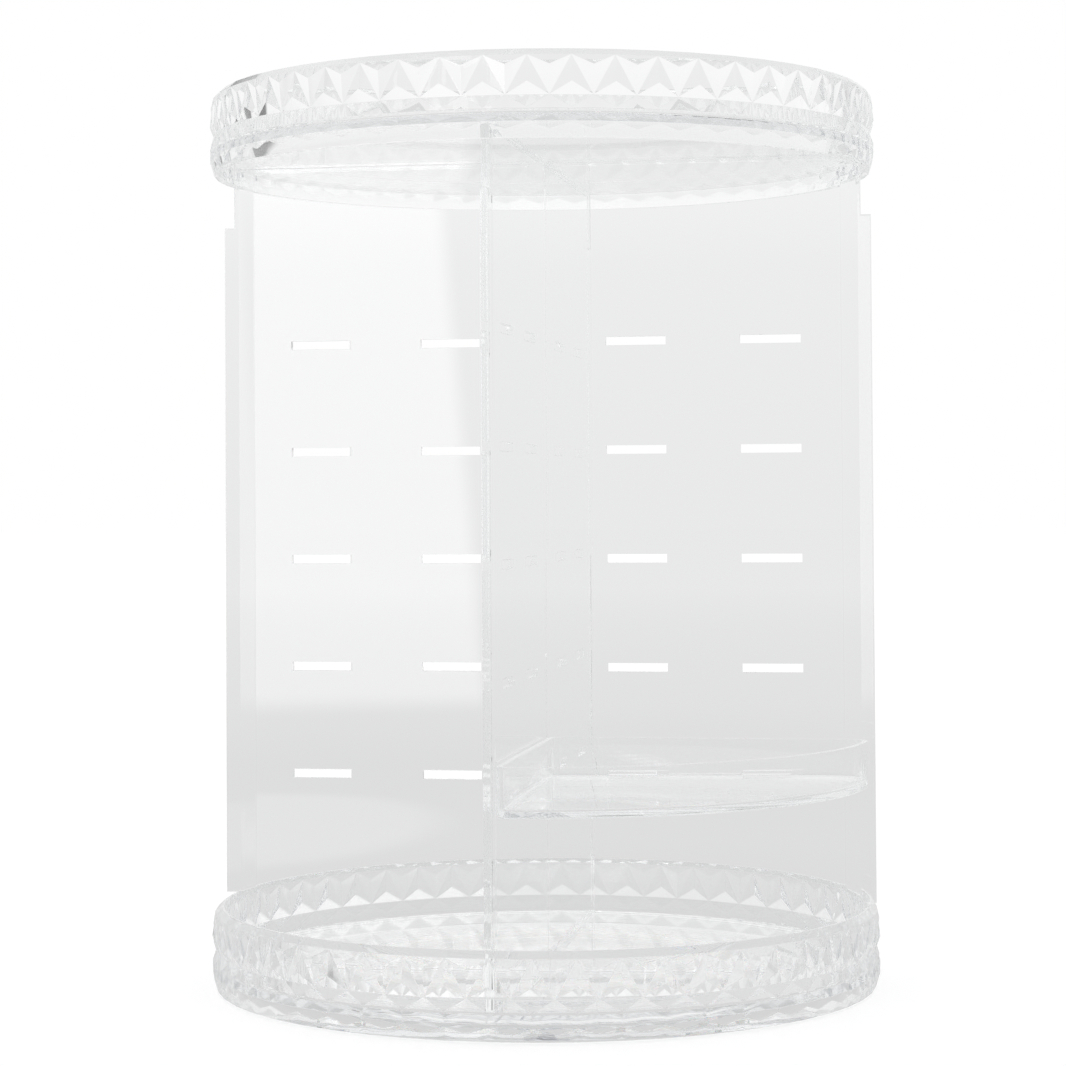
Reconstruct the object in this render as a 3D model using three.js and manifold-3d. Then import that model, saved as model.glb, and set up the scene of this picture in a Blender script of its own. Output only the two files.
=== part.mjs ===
// A clear round organizer on a turntable: two trays with a diamond-cut rim,
// two half-lapped slotted walls between them, and a quarter shelf.
// Millimetres, +Z up, origin on the table under the axis.
import * as THREE from 'three';
import { mergeVertices } from 'three/addons/utils/BufferGeometryUtils.js';
import Module from 'manifold-3d';

const wasm = await Module();
wasm.setup();

// Clearances shared by all pieces
const seatGap = 0.2;
const slideGap = 0.3;
const overrun = 5;
const overlap = 0.6;

// Tray: radius over the facet peaks, height, wall and floor
const trayRadius = 115.2;
const trayHeight = 27.7;
const trayWall = 4.2;
const skirtDepth = 5.3;
const trayFloor = 2.5;
const tableGap = 1;
const trayCove = 1.5;
const coveSteps = 3;
const trayBore = trayRadius - trayWall;

// Diamond cut of the rim: how often it repeats, and the depth its rows are shares of
const facetCells = 52;
const facetDepth = 2.3;
const rimEdgeInset = 3.2;
// Each row of corners: its height, its depth in from the peaks, and its place in the cell
const facetRowShares = {
  brow: { heightShare: 0.925, depthShare: 0.43, turnShare: 0 },
  notch: { heightShare: 0.812, depthShare: 0.17, turnShare: 0.5 },
  peak: { heightShare: 0.62, depthShare: 0, turnShare: 0 },
  pit: { heightShare: 0.5, depthShare: 0.76, turnShare: 0.5 },
  chin: { heightShare: 0.33, depthShare: 0.06, turnShare: 0 },
  dimple: { heightShare: 0.3, depthShare: 0.42, turnShare: 0.5 },
  cheek: { heightShare: 0.165, depthShare: 0.1, turnShare: 0 },
  toe: { heightShare: 0.095, depthShare: 0.4, turnShare: 0.5 },
};
const rimFootInset = 1.6;

// Wall panels
const panelHeight = 275.6;
const panelSheet = 2.2;
const panelEdgeInset = 1.2;
const neckGap = 0.5;
const shoulderGap = 0.4;
const railWidth = 10.4;
const railThickness = 3;
const railInset = 0.3;
const railRound = 0.8;
const neckRound = 2;
const slotLength = 21;
const slotHeight = 3;
const slotRows = 5;
const slotRowPitch = 37.7;
const innerSlotStart = 22.2;
const outerSlotStart = 68.8;

// Channels on the tray floors that hold the panels upright
const channelLength = 96;
const channelRailGap = 0.6;
const channelWall = 1.2;
const channelDepth = 1.2;

// Quarter shelf
const shelfRow = 0;
const shelfDrop = 0.8;
const shelfHeight = 16;
const shelfWall = 1.8;
const shelfFloor = 2;
const shelfEdgeInset = 3.2;
const shelfCorner = 5;
const tabPlay = 4.6;
const tabSideGap = 0.4;
const tabReach = 1;

// Turntable
const discInset = 19;
const discThickness = 2.2;
const discRaise = 1;
const discLipHeight = 1.8;
const discLipWidth = 2;
const discRibCount = 8;
const discRibWidth = 1.2;
const discRibHeight = 1.5;
const raceMargin = 3;
const footRadius = 6.5;
const footInset = 12;
const footPocket = 0.8;
const footCount = 4;
const footTurnShare = 0.5;
const footRound = 0.5;
const ballRadius = 2;
const ballCount = 12;
const raceInset = 26;
const raceClearance = 0.15;
const raceRoundness = 0.35;
const cageThickness = 1.4;
const cageHalfWidth = 5;
const pocketGap = 0.2;

// Pivot
const pivotPin = 4.5;
const pivotGap = 0.3;
const hubRadius = 15;
const hubGap = 0.8;
const washerRadius = 8;
const washerThickness = 0.8;
const screwShank = 1.5;
const screwHeadRadius = 3.4;
const screwHeadHeight = 1;
const screwHeadFlatShare = 0.7;
const screwLength = 5.2;
const screwSlotWidth = 0.9;
const recessGap = 0.6;

// Heights that the pieces share
const floorUnder = tableGap + skirtDepth;
const floorTop = floorUnder + trayFloor;
const panelFoot = floorTop + seatGap;
const panelHead = panelFoot + panelHeight;
const panelMiddle = (panelFoot + panelHead) / 2;
const topTrayBase = panelHead + seatGap - skirtDepth;
const neckLength = trayHeight - skirtDepth - trayFloor + shoulderGap;
const panelRadius = trayRadius - panelEdgeInset;
const neckRadius = trayBore - neckGap;
const channelEnd = panelRadius - railWidth - channelRailGap;
const discRadius = trayBore - discInset;
const ballCircle = discRadius - raceInset;
const footCircle = discRadius - footInset;
const discTop = discRaise + discThickness;
const recessTop = discRaise + screwHeadHeight + washerThickness + recessGap;
const pinFoot = recessTop - seatGap;

// Smoothness
const ballDetail = 1;
const ringSteps = facetCells;
const smallSteps = 24;
const cornerSteps = 4;

// Colours and finishes
const clearPlastic = { color: 0xf2f4f5, roughness: 0.05, metalness: 0, transparent: true, opacity: 0.35 };
const whiteResin = { color: 0xf0f0ec, roughness: 0.35, metalness: 0 };
const zincSteel = { color: 0xb9bcc0, roughness: 0.3, metalness: 1 };
const softRubber = { color: 0xd9dadb, roughness: 0.85, metalness: 0 };

// A closed geometry as a solid that can be joined and cut
function solidOf(geometry) {
  const bare = geometry.clone();
  bare.deleteAttribute('normal');
  bare.deleteAttribute('uv');
  const merged = mergeVertices(bare);
  return new wasm.Manifold(new wasm.Mesh({
    numProp: 3,
    vertProperties: new Float32Array(merged.attributes.position.array),
    triVerts: new Uint32Array(merged.index.array),
  }));
}

// The solid as a geometry again
function geometryOf(solid) {
  const mesh = solid.getMesh();
  const geometry = new THREE.BufferGeometry();
  geometry.setAttribute('position', new THREE.BufferAttribute(new Float32Array(mesh.vertProperties), 3));
  geometry.setIndex(new THREE.BufferAttribute(new Uint32Array(mesh.triVerts), 1));
  geometry.computeVertexNormals();
  return geometry;
}

function joined(first, ...others) {
  return others.reduce((sum, other) => sum.add(other), first);
}

function cutBy(first, ...others) {
  return others.reduce((rest, other) => rest.subtract(other), first);
}

// A block given by its two corners
function block(low, high) {
  const size = high.map((value, axis) => value - low[axis]);
  const box = new THREE.BoxGeometry(...size);
  box.translate(...low.map((value, axis) => value + size[axis] / 2));
  return solidOf(box);
}

// A profile of [radius, height] points turned about +Z
function turned(points, steps) {
  const profile = points.map(([radius, height]) => new THREE.Vector2(radius, height));
  const lathe = new THREE.LatheGeometry(profile, steps);
  lathe.rotateX(Math.PI / 2);
  const solid = solidOf(lathe);
  if (solid.volume() > 0) {
    return solid;
  }
  lathe.index.array.reverse();
  return solidOf(lathe);
}

// A flat outline given a thickness, lying on z = base
function extruded(shape, base, thickness, curveSegments = cornerSteps) {
  const settings = { depth: thickness, bevelEnabled: false, curveSegments };
  const geometry = new THREE.ExtrudeGeometry(shape, settings);
  geometry.translate(0, 0, base);
  return solidOf(geometry);
}

function meshOf(name, solid, finish) {
  const mesh = new THREE.Mesh(geometryOf(solid), new THREE.MeshStandardMaterial(finish));
  mesh.name = name;
  return mesh;
}

// The rim: a ring whose outside is cut into diamonds, built corner by corner
function facetedRim() {
  const positions = [];
  const turnOf = (cell, share) => ((cell + share) / facetCells) * 2 * Math.PI;
  const corner = (cell, share, radius, height) => {
    const turn = turnOf(cell, share);
    return [radius * Math.cos(turn), radius * Math.sin(turn), height];
  };
  const rowCorner = (row, cell) => {
    const { heightShare, depthShare, turnShare } = facetRowShares[row];
    return corner(cell, turnShare, trayRadius - depthShare * facetDepth, heightShare * trayHeight);
  };
  const face = (...corners) => {
    for (let last = 2; last < corners.length; last += 1) {
      positions.push(...corners[0], ...corners[last - 1], ...corners[last]);
    }
  };
  for (let cell = 0; cell < facetCells; cell += 1) {
    const next = cell + 1;
    const here = Object.fromEntries(Object.keys(facetRowShares).map((row) => [row, rowCorner(row, cell)]));
    const ahead = Object.fromEntries(Object.keys(facetRowShares).map((row) => [row, rowCorner(row, next)]));
    const edge = corner(cell, 0, trayRadius - rimEdgeInset, trayHeight);
    const edgeAhead = corner(next, 0, trayRadius - rimEdgeInset, trayHeight);
    const foot = corner(cell, 0, trayRadius - rimFootInset, 0);
    const footAhead = corner(next, 0, trayRadius - rimFootInset, 0);
    const boreTop = corner(cell, 0, trayBore, trayHeight);
    const boreTopAhead = corner(next, 0, trayBore, trayHeight);
    const boreFoot = corner(cell, 0, trayBore, 0);
    const boreFootAhead = corner(next, 0, trayBore, 0);
    face(edge, here.brow, ahead.brow, edgeAhead);
    face(here.brow, here.notch, ahead.brow);
    face(here.brow, here.pit, here.notch);
    face(ahead.brow, here.notch, here.pit);
    face(here.brow, here.peak, here.pit);
    face(ahead.brow, here.pit, ahead.peak);
    face(here.pit, ahead.pit, ahead.peak);
    face(here.pit, ahead.chin, ahead.pit);
    face(here.pit, here.chin, here.dimple);
    face(here.pit, here.dimple, ahead.chin);
    face(here.chin, here.cheek, here.dimple);
    face(ahead.chin, here.dimple, ahead.cheek);
    face(here.dimple, here.cheek, here.toe);
    face(here.dimple, here.toe, ahead.cheek);
    face(here.cheek, foot, here.toe);
    face(ahead.cheek, here.toe, footAhead);
    face(here.toe, foot, footAhead);
    face(foot, boreFoot, boreFootAhead, footAhead);
    face(boreFoot, boreTop, boreTopAhead, boreFootAhead);
    face(boreTop, edge, edgeAhead, boreTopAhead);
  }
  const geometry = new THREE.BufferGeometry();
  geometry.setAttribute('position', new THREE.BufferAttribute(new Float32Array(positions), 3));
  return solidOf(geometry);
}

// Pairs of ribs that stand on a floor and grip each end of both panels
function panelChannels(low, high) {
  const inside = panelSheet / 2 + slideGap;
  const outside = inside + channelWall;
  const ribs = [];
  for (const end of [-1, 1]) {
    for (const side of [-1, 1]) {
      const along = [end * (channelEnd - channelLength), end * channelEnd].sort((a, b) => a - b);
      const across = [side * inside, side * outside].sort((a, b) => a - b);
      ribs.push(block([along[0], across[0], low], [along[1], across[1], high]));
      ribs.push(block([across[0], along[0], low], [across[1], along[1], high]));
    }
  }
  return ribs;
}

// Half of the ball race, as a groove profile from its inner to its outer lip
function raceProfile(height, direction) {
  const grooveRadius = ballRadius + raceRoundness;
  const grooveDepth = ballRadius - (floorUnder - discTop) / 2 + raceClearance;
  const halfWidth = Math.sqrt(grooveRadius ** 2 - (grooveRadius - grooveDepth) ** 2);
  const spread = Math.asin(halfWidth / grooveRadius);
  const points = [];
  for (let step = 0; step <= cornerSteps; step += 1) {
    const angle = -spread + (2 * spread * step) / cornerSteps;
    points.push([
      ballCircle + grooveRadius * Math.sin(angle),
      height + direction * (grooveRadius * Math.cos(angle) - grooveRadius + grooveDepth),
    ]);
  }
  return points;
}

// The rounded corner between a tray's floor and its bore, from the wall inwards
function coveProfile(top) {
  const points = [[trayBore + overlap, top + trayCove]];
  for (let step = 0; step <= coveSteps; step += 1) {
    const angle = (step / coveSteps) * (Math.PI / 2);
    points.push([
      trayBore - trayCove * (1 - Math.cos(angle)),
      top + trayCove * (1 - Math.sin(angle)),
    ]);
  }
  return points;
}

// The lower tray: rim, floor with the upper ball race and the pivot pin under it
function baseTraySolid() {
  const under = skirtDepth;
  const top = skirtDepth + trayFloor;
  const bore = screwShank + seatGap;
  const boreTop = pinFoot + screwLength - washerThickness - tableGap;
  const floor = turned([
    [0, boreTop],
    [bore, boreTop],
    [bore, pinFoot - tableGap],
    [pivotPin, pinFoot - tableGap],
    [pivotPin, under],
    ...raceProfile(under, 1),
    [trayBore + overlap, under],
    ...coveProfile(top),
    [0, top],
  ], ringSteps);
  return joined(facetedRim(), floor, ...panelChannels(top - overlap, top + channelDepth));
}

// The upper tray: the same rim and floor, with its channels underneath
function topTraySolid() {
  const under = skirtDepth;
  const top = skirtDepth + trayFloor;
  const floor = turned([
    [0, under],
    [trayBore + overlap, under],
    ...coveProfile(top),
    [0, top],
  ], ringSteps);
  return joined(facetedRim(), floor, ...panelChannels(under - channelDepth, under + overlap));
}

// A closed outline through corners of [x, y, rounding], a rounding of zero staying sharp
function roundedOutline(corners) {
  const shape = new THREE.Shape();
  const point = (index) => new THREE.Vector2(...corners[(index + corners.length) % corners.length]);
  const towards = (index, other, distance) => {
    const from = point(index);
    return from.clone().add(point(other).sub(from).setLength(distance));
  };
  corners.forEach(([x, y, round], index) => {
    const start = round ? towards(index, index - 1, round) : point(index);
    if (index === 0) {
      shape.moveTo(start.x, start.y);
    } else {
      shape.lineTo(start.x, start.y);
    }
    if (round) {
      const end = towards(index, index + 1, round);
      shape.quadraticCurveTo(x, y, end.x, end.y);
    }
  });
  shape.closePath();
  return shape;
}

// Height of the middle of a slot row, counted from the lowest
function slotRowHeight(row) {
  return panelMiddle - panelFoot + (row - (slotRows - 1) / 2) * slotRowPitch;
}

// Outline of a wall panel with its half-lap, foot on the X axis and middle on the Y axis
function panelOutline(lapFromFoot) {
  const lapHalf = panelSheet / 2 + slideGap;
  const lapLength = (panelHeight + seatGap) / 2;
  const shoulder = panelHeight - neckLength;
  const right = [
    [neckRadius, 0, neckRound],
    [neckRadius, neckLength, 0],
    [panelRadius, neckLength, railRound],
    [panelRadius, shoulder, railRound],
    [neckRadius, shoulder, 0],
    [neckRadius, panelHeight, neckRound],
  ];
  const left = right.map(([x, y, round]) => [-x, y, round]).reverse();
  const lap = [[-lapHalf, 0, 0], [-lapHalf, lapLength, 0], [lapHalf, lapLength, 0], [lapHalf, 0, 0]];
  const upright = [...right, ...left, ...lap];
  if (lapFromFoot) {
    return roundedOutline(upright);
  }
  return roundedOutline(upright.map(([x, y, round]) => [x, panelHeight - y, round]).reverse());
}

// The slots that the shelf's tabs fit into
function panelSlots() {
  const slots = [];
  for (let row = 0; row < slotRows; row += 1) {
    const low = slotRowHeight(row) - slotHeight / 2;
    for (const start of [
      innerSlotStart, outerSlotStart, -innerSlotStart - slotLength, -outerSlotStart - slotLength,
    ]) {
      slots.push(block([start, low, -overrun], [start + slotLength, low + slotHeight, overrun]));
    }
  }
  return slots;
}

// The thicker rail down each end of a panel, set in a little from the panel's edge
function railOutline(side) {
  const inner = panelRadius - railWidth;
  const neck = neckRadius - railInset;
  const outer = panelRadius - railInset;
  const low = neckLength + railInset;
  const high = panelHeight - low;
  const corners = [
    [inner, railInset, 0],
    [neck, railInset, neckRound],
    [neck, low, 0],
    [outer, low, railRound],
    [outer, high, railRound],
    [neck, high, 0],
    [neck, panelHeight - railInset, neckRound],
    [inner, panelHeight - railInset, 0],
  ];
  return roundedOutline(corners.map(([x, y, round]) => [side * x, y, round]));
}

// One wall panel: a sheet with a rail down each end
function panelSolid(lapFromFoot) {
  const sheet = extruded(panelOutline(lapFromFoot), -panelSheet / 2, panelSheet);
  const rails = [-1, 1].map((side) => extruded(railOutline(side), -railThickness / 2, railThickness));
  return joined(cutBy(sheet, ...panelSlots()), ...rails);
}

// Quarter outline between the panels: two straight sides, the tray's curve and round corners
function quarterOutline(side, radius, round) {
  const middle = side + round;
  const reach = Math.sqrt((radius - round) ** 2 - middle ** 2);
  const tilt = Math.atan2(middle, reach);
  const shape = new THREE.Shape();
  shape.moveTo(middle, side);
  shape.lineTo(reach, side);
  shape.absarc(reach, middle, round, -Math.PI / 2, tilt);
  shape.absarc(0, 0, radius, tilt, Math.PI / 2 - tilt);
  shape.absarc(middle, reach, round, Math.PI / 2 - tilt, Math.PI);
  shape.lineTo(side, middle);
  shape.absarc(middle, middle, round, Math.PI, 1.5 * Math.PI);
  return shape;
}

// The shelf, drawn in the quarter between +X and +Y with its floor on z = 0
function shelfSolid() {
  const side = railThickness / 2 + slideGap;
  const radius = trayRadius - shelfEdgeInset;
  const inner = shelfCorner - shelfWall;
  const steps = ringSteps / 4;
  const outside = extruded(quarterOutline(side, radius, shelfCorner), 0, shelfHeight, steps);
  const hollow = extruded(
    quarterOutline(side + shelfWall, radius - shelfWall, inner), shelfFloor, shelfHeight + overrun, steps);
  const tabs = [];
  const tip = -(panelSheet / 2 + tabReach);
  const root = side + shelfWall / 2;
  const tabLength = slotLength - tabPlay;
  const low = shelfDrop + tabSideGap;
  const high = shelfDrop + slotHeight - tabSideGap;
  for (const start of [innerSlotStart + slideGap, outerSlotStart + slideGap]) {
    tabs.push(block([start, tip, low], [start + tabLength, root, high]));
    tabs.push(block([tip, start, low], [root, start + tabLength, high]));
  }
  return joined(cutBy(outside, hollow), ...tabs);
}

// The turntable disc: feet pockets, lower ball race, hub with the pivot hole, ribs and outer lip
function discSolid() {
  const hubTop = floorUnder - hubGap;
  const disc = turned([
    [pivotPin + pivotGap, recessTop],
    [pivotPin + pivotGap, hubTop],
    [hubRadius, hubTop],
    [hubRadius, discTop],
    ...raceProfile(discTop, -1),
    [discRadius - discLipWidth, discTop],
    [discRadius - discLipWidth, discTop + discLipHeight],
    [discRadius, discTop + discLipHeight],
    [discRadius, discRaise],
    [washerRadius + pivotGap, discRaise],
    [washerRadius + pivotGap, recessTop],
    [pivotPin + pivotGap, recessTop],
  ], ringSteps);
  const pockets = [];
  for (let foot = 0; foot < footCount; foot += 1) {
    const pocket = new THREE.CylinderGeometry(
      footRadius + seatGap, footRadius + seatGap, footPocket + overrun, smallSteps);
    pocket.rotateX(Math.PI / 2);
    const turn = ((foot + footTurnShare) / footCount) * 2 * Math.PI;
    const middle = discRaise + (footPocket - overrun) / 2;
    pocket.translate(footCircle * Math.cos(turn), footCircle * Math.sin(turn), middle);
    pockets.push(solidOf(pocket));
  }
  const ribs = [];
  for (let rib = 0; rib < discRibCount; rib += 1) {
    const spans = [
      [hubRadius - overlap, ballCircle - cageHalfWidth - raceMargin],
      [ballCircle + cageHalfWidth + raceMargin, discRadius - discLipWidth + overlap],
    ];
    for (const [start, end] of spans) {
      const blade = new THREE.BoxGeometry(end - start, discRibWidth, discRibHeight + overlap);
      blade.translate((start + end) / 2, 0, discTop + (discRibHeight - overlap) / 2);
      blade.rotateZ((rib / discRibCount) * 2 * Math.PI);
      ribs.push(solidOf(blade));
    }
  }
  return cutBy(joined(disc, ...ribs), ...pockets);
}

// A rubber foot with a rounded lower edge
function footSolid() {
  const height = discRaise + footPocket - seatGap;
  return turned([
    [0, 0],
    [footRadius - footRound, 0],
    [footRadius, footRound],
    [footRadius, height],
    [0, height],
  ], smallSteps);
}

// The ball ring that rolls between the two races
function cageSolid() {
  const ring = new THREE.Shape();
  ring.absarc(0, 0, ballCircle + cageHalfWidth, 0, 2 * Math.PI);
  const bore = new THREE.Path();
  bore.absarc(0, 0, ballCircle - cageHalfWidth, 0, 2 * Math.PI, true);
  ring.holes.push(bore);
  const flat = extruded(ring, -cageThickness / 2, cageThickness, ringSteps);
  const pockets = [];
  for (let ball = 0; ball < ballCount; ball += 1) {
    const pocket = new THREE.CylinderGeometry(
      ballRadius + pocketGap, ballRadius + pocketGap, cageThickness + overrun, smallSteps / 2);
    pocket.rotateX(Math.PI / 2);
    const turn = (ball / ballCount) * 2 * Math.PI;
    pocket.translate(ballCircle * Math.cos(turn), ballCircle * Math.sin(turn), 0);
    pockets.push(solidOf(pocket));
  }
  return cutBy(flat, ...pockets);
}

function washerSolid() {
  return turned([
    [screwShank + seatGap, 0],
    [washerRadius, 0],
    [washerRadius, washerThickness],
    [screwShank + seatGap, washerThickness],
    [screwShank + seatGap, 0],
  ], smallSteps);
}

// The pivot screw, head down, with a cross recess
function screwSolid() {
  const body = turned([
    [0, 0],
    [screwHeadRadius * screwHeadFlatShare, 0],
    [screwHeadRadius, screwHeadHeight / 2],
    [screwHeadRadius, screwHeadHeight],
    [screwShank, screwHeadHeight],
    [screwShank, screwHeadHeight + screwLength - screwShank],
    [0, screwHeadHeight + screwLength],
  ], smallSteps);
  const arm = screwHeadRadius / 2;
  const slot = screwSlotWidth / 2;
  return cutBy(
    body,
    block([-arm, -slot, -overrun], [arm, slot, screwHeadHeight / 2]),
    block([-slot, -arm, -overrun], [slot, arm, screwHeadHeight / 2]));
}

// Turntable: stays on the table
const turntable = new THREE.Group();
turntable.add(meshOf('turntable_disc', discSolid(), clearPlastic));
for (let foot = 0; foot < footCount; foot += 1) {
  const pad = meshOf(`rubber_foot_${foot + 1}`, footSolid(), softRubber);
  const turn = ((foot + footTurnShare) / footCount) * 2 * Math.PI;
  pad.position.set(footCircle * Math.cos(turn), footCircle * Math.sin(turn), 0);
  turntable.add(pad);
}

// Ball ring: rolls round at half the carousel's speed
const ballRing = new THREE.Group();
ballRing.position.z = (floorUnder + discTop) / 2;
ballRing.add(meshOf('ball_cage', cageSolid(), whiteResin));
for (let ball = 0; ball < ballCount; ball += 1) {
  const round = solidOf(new THREE.IcosahedronGeometry(ballRadius, ballDetail));
  const sphere = meshOf(`ball_${ball + 1}`, round, whiteResin);
  const turn = (ball / ballCount) * 2 * Math.PI;
  sphere.position.set(ballCircle * Math.cos(turn), ballCircle * Math.sin(turn), 0);
  ballRing.add(sphere);
}

// Carousel: everything that turns with the lower tray
const carousel = new THREE.Group();
const baseTray = meshOf('base_tray', baseTraySolid(), clearPlastic);
baseTray.position.z = tableGap;
carousel.add(baseTray);

const washer = meshOf('pivot_washer', washerSolid(), zincSteel);
washer.position.z = pinFoot - seatGap / 2 - washerThickness;
carousel.add(washer);
const screw = meshOf('pivot_screw', screwSolid(), zincSteel);
screw.position.z = washer.position.z - seatGap / 2 - screwHeadHeight;
carousel.add(screw);

const widePanel = meshOf('divider_panel_wide', panelSolid(true), clearPlastic);
widePanel.rotation.x = Math.PI / 2;
widePanel.position.z = panelFoot;
carousel.add(widePanel);
const crossTurn = new THREE.Group();
crossTurn.rotation.z = Math.PI / 2;
const crossPanel = meshOf('divider_panel_cross', panelSolid(false), clearPlastic);
crossPanel.rotation.x = Math.PI / 2;
crossPanel.position.z = panelFoot;
crossTurn.add(crossPanel);
carousel.add(crossTurn);

const shelf = meshOf('quarter_shelf', shelfSolid(), clearPlastic);
shelf.rotation.z = -Math.PI / 2;
shelf.position.z = panelFoot + slotRowHeight(shelfRow) - slotHeight / 2 - shelfDrop;
carousel.add(shelf);

const topTray = meshOf('top_tray', topTraySolid(), clearPlastic);
topTray.position.z = topTrayBase;
carousel.add(topTray);

const organizer = new THREE.Group();
organizer.add(turntable, ballRing, carousel);

export default organizer;
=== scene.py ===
# %% [markdown]
# # A clear rotating organizer, dressed in Blender
# The object is a round, see-through stand for bottles and jars. Two trays with a diamond-cut rim
# are held apart by two crossed wall panels, and the lot turns on a ring of balls.
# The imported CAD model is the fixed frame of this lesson. Each piece is built again in mesh code, at
# the place that the frame gives, with the small roundings that clear plastic needs to catch light.

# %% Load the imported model
from itertools import product
from math import asin, atan2, cos, pi, radians, sin, sqrt

import bmesh
import bpy
from mathutils import Matrix, Vector


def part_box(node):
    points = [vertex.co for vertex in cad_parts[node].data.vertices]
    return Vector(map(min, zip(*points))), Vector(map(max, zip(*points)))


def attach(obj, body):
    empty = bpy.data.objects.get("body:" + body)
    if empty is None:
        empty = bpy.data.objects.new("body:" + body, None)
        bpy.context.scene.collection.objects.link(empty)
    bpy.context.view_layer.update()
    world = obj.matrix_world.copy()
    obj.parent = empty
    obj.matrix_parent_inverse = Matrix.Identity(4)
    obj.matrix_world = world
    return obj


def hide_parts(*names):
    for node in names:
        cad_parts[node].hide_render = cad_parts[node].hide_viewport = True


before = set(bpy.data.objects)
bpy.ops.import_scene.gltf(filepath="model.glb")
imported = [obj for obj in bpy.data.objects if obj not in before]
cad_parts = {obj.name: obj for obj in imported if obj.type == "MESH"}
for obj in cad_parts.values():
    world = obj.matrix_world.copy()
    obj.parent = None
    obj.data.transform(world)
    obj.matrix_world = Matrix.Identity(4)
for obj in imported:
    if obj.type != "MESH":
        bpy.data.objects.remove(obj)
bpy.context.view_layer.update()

MM = 0.001

# %% [markdown]
# ## Camera
# The photograph was taken from about a metre away, a little above half the height, with a long lens
# that looks almost level. The picture's middle lies lower than the lens's own centre, so the frame
# is shifted down a little. The camera stands to the right and is turned nine degrees to the left,
# which brings the panel's right end nearer.

# %% Place the camera
CAMERA_PLACE = Vector((155.3, -966.4, 169.3)) * MM
CAMERA_HEADING, CAMERA_PITCH, CAMERA_ROLL = radians(9.34), radians(1.19), radians(-0.34)
FOCAL_LENGTH = 94.9
VERTICAL_SHIFT = -0.0914
NEAREST_SEEN, FURTHEST_SEEN = 0.05, 30


def link_object(name, data):
    """A new object in the scene that shows this data."""
    made = bpy.data.objects.new(name, data)
    bpy.context.scene.collection.objects.link(made)
    return made


camera_data = bpy.data.cameras.new("photo_camera")
camera_data.lens = FOCAL_LENGTH
camera_data.shift_y = VERTICAL_SHIFT
camera_data.clip_start, camera_data.clip_end = NEAREST_SEEN, FURTHEST_SEEN
camera = link_object("photo_camera", camera_data)
camera.matrix_world = (
    Matrix.Translation(CAMERA_PLACE)
    @ Matrix.Rotation(CAMERA_HEADING, 4, "Z")
    @ Matrix.Rotation(pi / 2 + CAMERA_PITCH, 4, "X")
    @ Matrix.Rotation(CAMERA_ROLL, 4, "Z")
)
bpy.context.scene.camera = camera
print("camera is", round(CAMERA_PLACE.length, 3), "m from the origin")

# %% [markdown]
# ## Small helpers for node materials
# Every finish here is a Principled shader with a few texture nodes in front of it. They could be
# written out one by one, but four helpers keep them short: one starts a material, one adds a node,
# one joins two sockets, and one adds the fine unevenness that every moulded or rolled skin has.


# %% Material helpers
def start_finish(name, **constants):
    """A new node material whose Principled shader has these constants on its own sockets."""
    finish = bpy.data.materials.new(name)
    finish.use_nodes = True
    shader = finish.node_tree.nodes["Principled BSDF"]
    for socket, value in constants.items():
        shader.inputs[socket.replace("_", " ")].default_value = value
    return finish, shader


def add_node(finish, kind, **settings):
    """A node of that kind, with sockets named in settings given their values."""
    node = finish.node_tree.nodes.new(kind)
    for name, value in settings.items():
        if hasattr(node, name):
            setattr(node, name, value)
        else:
            node.inputs[name.replace("_", " ")].default_value = value
    return node


def link(finish, source, output, target, socket):
    finish.node_tree.links.new(source.outputs[output], target.inputs[socket])


def add_grain(finish, shader, scale, detail, depth, low, high):
    """Fine unevenness: noise that drives the roughness between two values and a faint bump."""
    place = add_node(finish, "ShaderNodeTexCoord")
    noise = add_node(finish, "ShaderNodeTexNoise", Scale=scale, Detail=detail)
    spread = add_node(finish, "ShaderNodeMapRange", To_Min=low, To_Max=high)
    bump = add_node(finish, "ShaderNodeBump", Strength=1.0, Distance=depth)
    link(finish, place, "Object", noise, "Vector")
    link(finish, noise, "Fac", spread, "Value")
    link(finish, spread, "Result", shader, "Roughness")
    link(finish, noise, "Fac", bump, "Height")
    link(finish, bump, "Normal", shader, "Normal")


print("material helpers are ready")

# %% [markdown]
# ## Clear plastic
# Moulded styrene and acrylic look colourless through a thin wall. Along a whole tray floor they
# don't: light that travels inside it for a hand's width comes out grey, which is why the floor's edge
# draws a dark band round the rim. A grey base colour would darken each surface alike, however thick
# the plastic is. Volume absorption darkens with the way that light goes inside, so it is used here.
# A faint long ripple stands for the flow of the mould, and bends what shows through very slightly.

# %% Clear finishes
PLASTIC_BEND = 1.49
COLOUR_INSIDE = (0.2, 0.26, 0.3, 1)


def clear_finish(name, tint, absorption, ripple, ripple_depth):
    """Clear plastic: it bends light at its skin and takes a little away inside."""
    finish, shader = start_finish(name, Base_Color=tint, Transmission_Weight=1.0, IOR=PLASTIC_BEND)
    add_grain(finish, shader, scale=ripple, detail=2, depth=ripple_depth, low=0.0, high=0.01)
    inside = add_node(
        finish, "ShaderNodeVolumeAbsorption", Color=COLOUR_INSIDE, Density=absorption
    )
    link(finish, inside, "Volume", finish.node_tree.nodes["Material Output"], "Volume")
    return finish


clear_tray = clear_finish(
    "clear_tray_plastic", tint=(0.995, 0.996, 0.997, 1), absorption=0.9, ripple=60, ripple_depth=5e-7
)
clear_panel = clear_finish(
    "clear_panel_plastic", tint=(0.993, 0.995, 0.996, 1), absorption=0.15, ripple=9, ripple_depth=1e-5
)
print("clear finishes:", clear_tray.name, clear_panel.name)

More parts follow.
